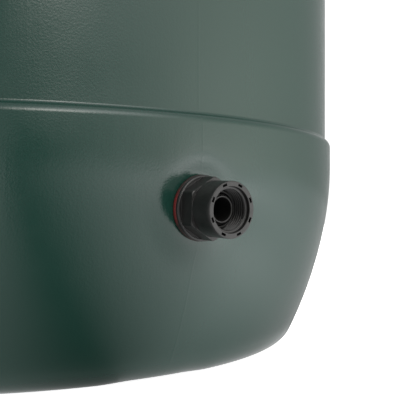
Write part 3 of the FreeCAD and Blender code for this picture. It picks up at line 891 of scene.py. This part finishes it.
def rubber(name, colour, painted_shade=None):
    """Rubber; where a second colour is given, the edge turns to it above and below its middle: painted
    shade, so that the red shows only across the middle.
    """
    n = Nodes(name)
    if painted_shade is None:
        lighter = tuple(c * 1.2 for c in colour)
        n.set("Base Color", n.mix(n.ramp(n.noise(300.0, 2.0), 0.3, 0.7, 0.0, 1.0), colour, lighter))
    else:
        # painted shade: the washer's colour turns darker with height above and below its middle
        sums = Sums(n.tree)
        height = sums.vector("DOT_PRODUCT", n.place, (0, 0, 1))
        away = sums.math("ABSOLUTE", sums.math("SUBTRACT", height, OUTLET_SEAT.z))
        away = sums.math("ADD", away, n.ramp(n.noise(120.0, 2.0), 0.3, 0.7, -0.002, 0.002))
        n.set("Base Color", n.mix(n.ramp(away, PAINTED_SHADE_START, PAINTED_SHADE_FULL, 0.0, 1.0), colour, painted_shade))
    n.set("Roughness", 0.6)
    n.set("Normal", n.bump(n.noise(1500.0, 2.0), 0.00005, 0.3))
    return n.material


def steel(name):
    n = Nodes(name)
    n.set("Base Color", (0.62, 0.62, 0.62))
    n.set("Metallic", 1.0)
    n.set("Roughness", n.ramp(n.noise(900.0, 2.0), 0.3, 0.7, 0.22, 0.36))
    n.set("Normal", n.bump(n.noise(2500.0, 2.0), 0.00002, 0.3, n.rounded_edges(0.0003)))
    return n.material


DARK_GREEN = (0.0062, 0.0325, 0.0238)
LIGHT_GREEN = (0.0070, 0.0355, 0.0262)
MATERIALS = {
    "barrel_green": blown_plastic("barrel_green", DARK_GREEN, LIGHT_GREEN, 0.16),
    "lid_green": blown_plastic("lid_green", DARK_GREEN, LIGHT_GREEN, 0.20),
    "fitting_black": moulded_plastic("fitting_black", (0.0085, 0.0083, 0.0080), 0.38),
    # the red washer's second colour is painted shade above and below its middle
    "red_rubber": rubber("red_rubber", (0.14, 0.009, 0.007), (0.022, 0.010, 0.008)),
    "black_rubber": rubber("black_rubber", (0.012, 0.012, 0.012)),
    "steel": steel("steel"),
}


def wear(obj, slot):
    obj.data.materials.clear()
    obj.data.materials.append(MATERIALS[slot])


def finish_piece(obj, body, slot, *nodes):
    wear(obj, slot)
    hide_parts(*nodes)
    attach(obj, body)
    return obj


slot_of = {part["node"]: part["material_slot"] for part in frame["record"]["subparts"]}
for node, obj in frame["nodes"].items():
    wear(obj, slot_of[node])
    obj.data.shade_smooth()
    obj.data.set_sharp_from_angle(angle=math.radians(30))

finish_piece(build_shell(), "barrel", "barrel_green", "barrel_body")
finish_piece(build_outlet(), "barrel", "fitting_black", "outlet_fitting")
finish_piece(build_lid(), "lid", "lid_green", "lid")
finish_piece(build_overflow(), "barrel", "fitting_black", "overflow_fitting")
finish_piece(build_screen(), "strainer", "steel", "strainer_screen")
for number in range(1, 5):
    handle = build_latch_handle(f"latch_{number}_turn_handle", 90 * number - 45)
    finish_piece(handle, f"latch_{number}", "fitting_black", f"latch_{number}_handle")
red = build_washer("outlet_washer_ring", WASHER_OUT_R, WASHER_IN_R, GASKET_T, OUTLET_SEAT, OUTLET_OUT)
finish_piece(red, "barrel", "red_rubber", "outlet_red_washer")


# --- studio --------------------------------------------------------------------------------------
def build_camera():
    """Level camera close to the barrel, about as high as the outlet, looking at the lower front."""
    distance = 0.7192                   # from the barrel's axis
    azimuth = math.radians(23.92)       # from the outlet's plane round to the camera, seen from above
    yaw = math.radians(14.887)          # the camera looks this far to the right of the barrel's axis
    height = 0.1066
    data = bpy.data.cameras.new("camera")
    data.sensor_width = 36.0
    data.lens = 67.55
    data.shift_y = 0.0159
    data.clip_start = 0.01
    camera = bpy.data.objects.new("camera", data)
    camera.location = (-distance * math.sin(azimuth), -distance * math.cos(azimuth), height)
    camera.rotation_euler = (math.radians(90), 0, -(azimuth + yaw))
    bpy.context.scene.collection.objects.link(camera)
    bpy.context.scene.camera = camera
    return camera


FLOOR_HALF = 6.0
FLOOR_GLOW = 0.95           # the floor's own white where the camera sees it
# What the barrel sees in the floor, tuned to its reflections rather than laid out like a real studio: a
# dark lane that runs out towards the camera, even light to its left, a broad sweep and two pools of light
# to its right, a little less light round the foot, and a thin bright ring at the foot itself.
LANE_START = (-0.0425, -0.246)
LANE_TURN = math.radians(-22.5)
LANE_LEVEL = 0.14
RIGHT_WIDE = 0.083          # the lane's right side fades over this width at its start,
RIGHT_SPREAD = 0.40         # and over this much more for each metre out
FLOOR_LEFT = 0.92
LEFT_WIDE = 0.060
FLOOR_EVEN = 0.36
SWEEP_START = (-0.029, -0.242, 0)
SWEEP_TURN = math.radians(28)
SWEEP_WIDE = math.radians(37)
SWEEP_GLOW = 1.65
# pools of light: middle, width and strength
POOLS = (
    ((0.85, -1.30, 0), 0.50, 2.1),
    ((0.20, -0.43, 0), 0.13, 0.55),
)
FOOT_SHADE = 0.25
FOOT_WIDE = 0.059
EDGE_GLOW = 0.28
EDGE_WIDE = 0.0055


def floor_glow(n):
    """Light that the floor sends back to everything but the camera."""
    sums = Sums(n.tree)
    place_ = n.add("ShaderNodeNewGeometry").outputs["Position"]
    start = Vector((*LANE_START, 0))
    along = Vector((math.sin(LANE_TURN), -math.cos(LANE_TURN), 0))
    across = Vector((math.cos(LANE_TURN), math.sin(LANE_TURN), 0))
    out = sums.math("SUBTRACT", sums.vector("DOT_PRODUCT", place_, along), start.dot(along))
    out = sums.math("MAXIMUM", out, 0.0)
    t = sums.math("SUBTRACT", sums.vector("DOT_PRODUCT", place_, across), start.dot(across))
    right = sums.math("MAXIMUM", t, 0.0)
    left = sums.math("MAXIMUM", sums.math("MULTIPLY", t, -1.0), 0.0)
    spread = sums.math("ADD", sums.math("MULTIPLY", out, RIGHT_SPREAD), RIGHT_WIDE)
    from_right = sums.math("SUBTRACT", 1.0, sums.falloff(right, spread))
    from_left = sums.math("SUBTRACT", 1.0, sums.falloff(left, LEFT_WIDE, 2.0))

    outward = sums.vector("NORMALIZE", sums.vector("SUBTRACT", place_, SWEEP_START), (0, 0, 0))
    middle = (math.sin(SWEEP_TURN), -math.cos(SWEEP_TURN), 0)
    off = sums.math("MAXIMUM", sums.math("SUBTRACT", 1.0, sums.vector("DOT_PRODUCT", outward, middle)), 0.0)
    sweep = sums.math("MULTIPLY", sums.falloff(off, SWEEP_WIDE**2, 2.0), SWEEP_GLOW)
    glow = sums.math("MULTIPLY", sums.math("ADD", sweep, FLOOR_EVEN), from_right)
    glow = sums.math("ADD", glow, sums.math("MULTIPLY", from_left, FLOOR_LEFT))
    glow = sums.math("ADD", glow, LANE_LEVEL)
    for middle, wide, strength in POOLS:
        beyond = sums.vector("LENGTH", sums.vector("SUBTRACT", place_, middle), (0, 0, 0))
        glow = sums.math("ADD", glow, sums.math("MULTIPLY", sums.falloff(beyond, wide, 2.0), strength))
    from_axis = sums.vector("LENGTH", place_, (0, 0, 0))
    gap = sums.math("MAXIMUM", sums.math("SUBTRACT", from_axis, FOOT_R), 0.0)
    near = sums.math("MULTIPLY", sums.falloff(gap, FOOT_WIDE), FOOT_SHADE)
    glow = sums.math("MULTIPLY", glow, sums.math("SUBTRACT", 1.0, near))
    return sums.math("ADD", glow, sums.math("MULTIPLY", sums.falloff(gap, EDGE_WIDE), EDGE_GLOW))


def build_floor():
    """Pale floor: plain white to the camera, and floor_glow's light to everything else."""
    corners = [(-1, -1), (1, -1), (1, 1), (-1, 1)]
    vertices = [(FLOOR_HALF * x, FLOOR_HALF * y, 0) for x, y in corners]
    floor = new_object("floor", vertices, [(0, 1, 2, 3)])
    n = Nodes("floor")
    n.set("Base Color", n.mix(n.noise(3.0), (0.80, 0.80, 0.80), (0.83, 0.83, 0.83)))
    n.set("Roughness", 0.9)
    n.set("Specular IOR Level", 0.0)
    n.set("Emission Color", (1.0, 1.0, 1.0))
    n.set("Emission Strength", FLOOR_GLOW)
    bounce = n.add("ShaderNodeEmission")
    n.link(floor_glow(n), bounce.inputs["Strength"])
    seen = n.add("ShaderNodeLightPath").outputs["Is Camera Ray"]
    both = n.add("ShaderNodeMixShader")
    n.link(seen, both.inputs[0])
    n.link(bounce.outputs[0], both.inputs[1])
    n.link(n.surface.outputs[0], both.inputs[2])
    n.link(both.outputs[0], n.out.inputs["Surface"])
    floor.data.materials.append(n.material)
    return floor


def build_world(even, patches):
    """White room whose walls glow in soft patches, each an azimuth, elevation, width, strength and tint.

    Angles are in degrees.  Azimuth 0 is -Y and grows towards +X.  A negative strength is a dark card.  The
    patches are tuned to the barrel's reflections.  The camera itself sees plain white.
    """
    world = bpy.data.worlds.new("studio")
    world.use_nodes = True
    tree = world.node_tree
    tree.nodes.clear()
    sums = Sums(tree)
    out = tree.nodes.new("ShaderNodeOutputWorld")
    back = tree.nodes.new("ShaderNodeBackground")
    direction = tree.nodes.new("ShaderNodeTexCoord").outputs["Generated"]
    total = None
    for azimuth, elevation, wide, strength, tint in patches:
        a, e = math.radians(azimuth), math.radians(elevation)
        middle = (math.sin(a) * math.cos(e), -math.cos(a) * math.cos(e), math.sin(e))
        off = sums.math("SUBTRACT", 1.0, sums.vector("DOT_PRODUCT", direction, middle))
        glow = sums.falloff(sums.math("MAXIMUM", off, 0.0), math.radians(wide) ** 2)
        colour = tree.nodes.new("ShaderNodeVectorMath")
        colour.operation = "SCALE"
        colour.inputs[0].default_value = [strength * c for c in tint]
        tree.links.new(glow, colour.inputs["Scale"])
        term = colour.outputs[0]
        total = term if total is None else sums.vector("ADD", total, term)
    total = sums.vector("ADD", total, (even, even, even))
    total = sums.vector("MAXIMUM", total, (0.02, 0.02, 0.02))
    camera = tree.nodes.new("ShaderNodeLightPath").outputs["Is Camera Ray"]
    seen = tree.nodes.new("ShaderNodeMix")
    seen.data_type = "RGBA"
    tree.links.new(camera, seen.inputs["Factor"])
    tree.links.new(total, seen.inputs["A"])
    seen.inputs["B"].default_value = (1.1, 1.1, 1.1, 1.0)
    tree.links.new(seen.outputs["Result"], back.inputs["Color"])
    tree.links.new(back.outputs[0], out.inputs["Surface"])
    bpy.context.scene.world = world


NEUTRAL = (1.0, 1.0, 1.0)
WARM = (1.0, 0.98, 0.92)
COOL = (0.93, 0.98, 1.0)

build_camera()
build_floor()
build_world(0.28, (
    (46, -2, 24, 1.80, WARM),
    (8, 40, 15, 3.2, NEUTRAL),
    (38, -4, 6.5, 1.0, NEUTRAL),
    (51, -5, 6, 0.45, NEUTRAL),
    (84, 68, 17, 0.55, NEUTRAL),
    (-9, 29, 7, 7.0, WARM),
    (-16, -2, 5, -0.6, NEUTRAL),
    (-28, 4, 5, 0.55, NEUTRAL),
    (-150, 30, 30, 1.6, COOL),
    (180, 30, 24, 1.6, NEUTRAL),
))
bpy.context.scene.view_settings.view_transform = "Standard"
